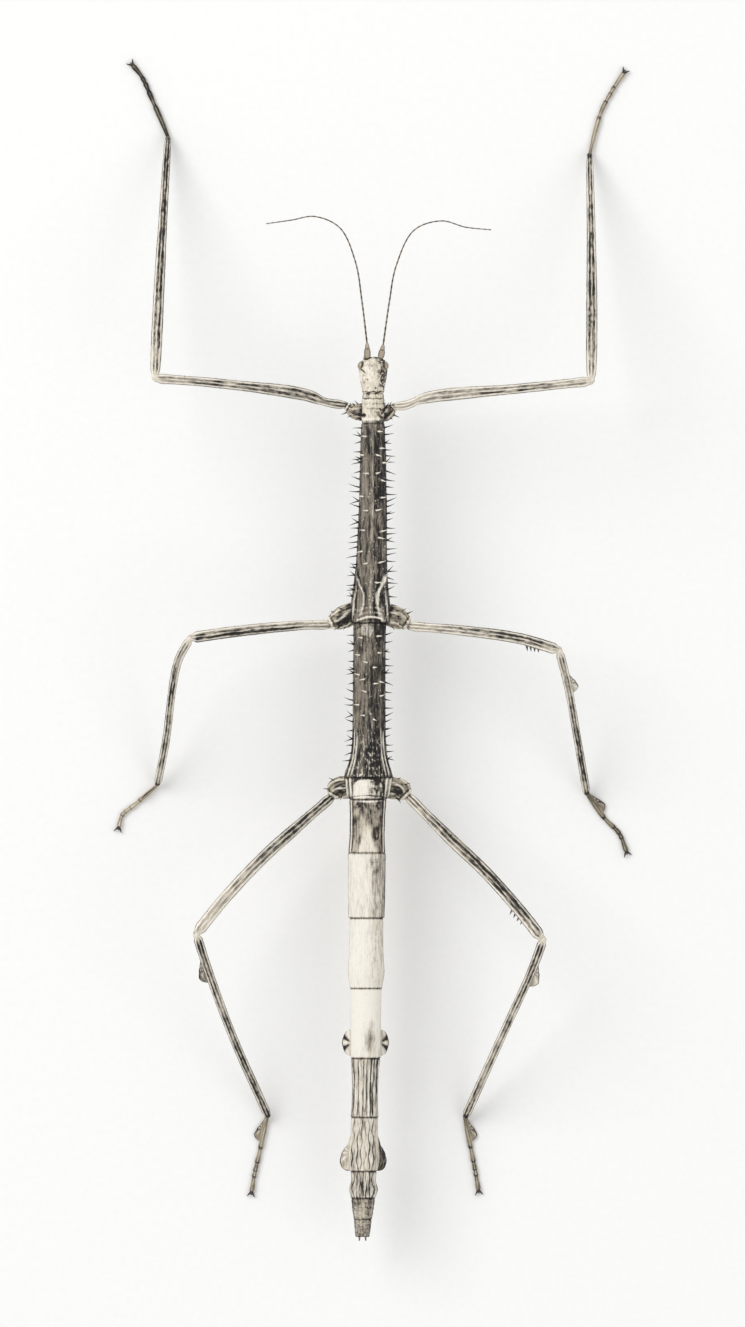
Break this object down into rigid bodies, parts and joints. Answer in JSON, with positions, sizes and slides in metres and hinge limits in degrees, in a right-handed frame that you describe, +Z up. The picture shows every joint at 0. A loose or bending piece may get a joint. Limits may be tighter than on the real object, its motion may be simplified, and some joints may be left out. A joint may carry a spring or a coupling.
{
  "type": "giant stick insect",
  "caption": "Life-size still model of a New Zealand giant stick insect, an adult female, standing on its feet with legs and antennae spread.",
  "frame": {"origin": "on the floor, under the middle of the whole insect, legs included", "axes": "+Y towards the head, +X to the insect's right, +Z up"},
  "size_m": [0.0889, 0.202, 0.0241],
  "materials": {
    "pale_shell": "dull fawn cuticle with fine pits and faint brown mottling",
    "thorax_shell": "dark umber cuticle with fine lengthwise grooves and paler spine tips",
    "abdomen_shell": "mid brown cuticle with lengthwise wrinkles and darker mottling",
    "leg_shell": "fawn cuticle with dark lines between its pale lengthwise keels",
    "foot": "dark brown, dull, with paler joints",
    "claw": "smooth, nearly black horn",
    "antenna": "dull brown with darker rings at the joints",
    "mouth": "brown, slightly shiny",
    "eye": "shiny dark brown, finely faceted"
  },
  "bodies": {
    "root": {"head": "pale_shell", "mouthparts": "mouth", "eye_left": "eye", "eye_right": "eye", "scape_left": "antenna", "antenna_left_1": "antenna", "antenna_left_2": "antenna", "antenna_left_3": "antenna", "scape_right": "antenna", "antenna_right_1": "antenna", "antenna_right_2": "antenna", "antenna_right_3": "antenna", "prothorax": "pale_shell", "mesothorax": "thorax_shell", "metathorax": "thorax_shell", "abdomen_1": "pale_shell", "abdomen_2": "abdomen_shell", "abdomen_3": "pale_shell", "abdomen_4": "pale_shell", "abdomen_5": "pale_shell", "abdomen_6": "abdomen_shell", "abdomen_7": "abdomen_shell", "abdomen_8": "abdomen_shell", "abdomen_9": "abdomen_shell", "abdomen_10": "abdomen_shell", "operculum": "abdomen_shell", "cercus_left": "abdomen_shell", "cercus_right": "abdomen_shell", "coxa_fore_left": "thorax_shell", "femur_fore_left": "leg_shell", "tibia_fore_left": "leg_shell", "tarsus_fore_left": "foot", "claws_fore_left": "claw", "coxa_fore_right": "thorax_shell", "femur_fore_right": "leg_shell", "tibia_fore_right": "leg_shell", "tarsus_fore_right": "foot", "claws_fore_right": "claw", "coxa_mid_left": "thorax_shell", "femur_mid_left": "leg_shell", "tibia_mid_left": "leg_shell", "tarsus_mid_left": "foot", "claws_mid_left": "claw", "coxa_mid_right": "thorax_shell", "femur_mid_right": "leg_shell", "tibia_mid_right": "leg_shell", "tarsus_mid_right": "foot", "claws_mid_right": "claw", "coxa_hind_left": "thorax_shell", "femur_hind_left": "leg_shell", "tibia_hind_left": "leg_shell", "tarsus_hind_left": "foot", "claws_hind_left": "claw", "coxa_hind_right": "thorax_shell", "femur_hind_right": "leg_shell", "tibia_hind_right": "leg_shell", "tarsus_hind_right": "foot", "claws_hind_right": "claw"}
  },
  "joints": []
}
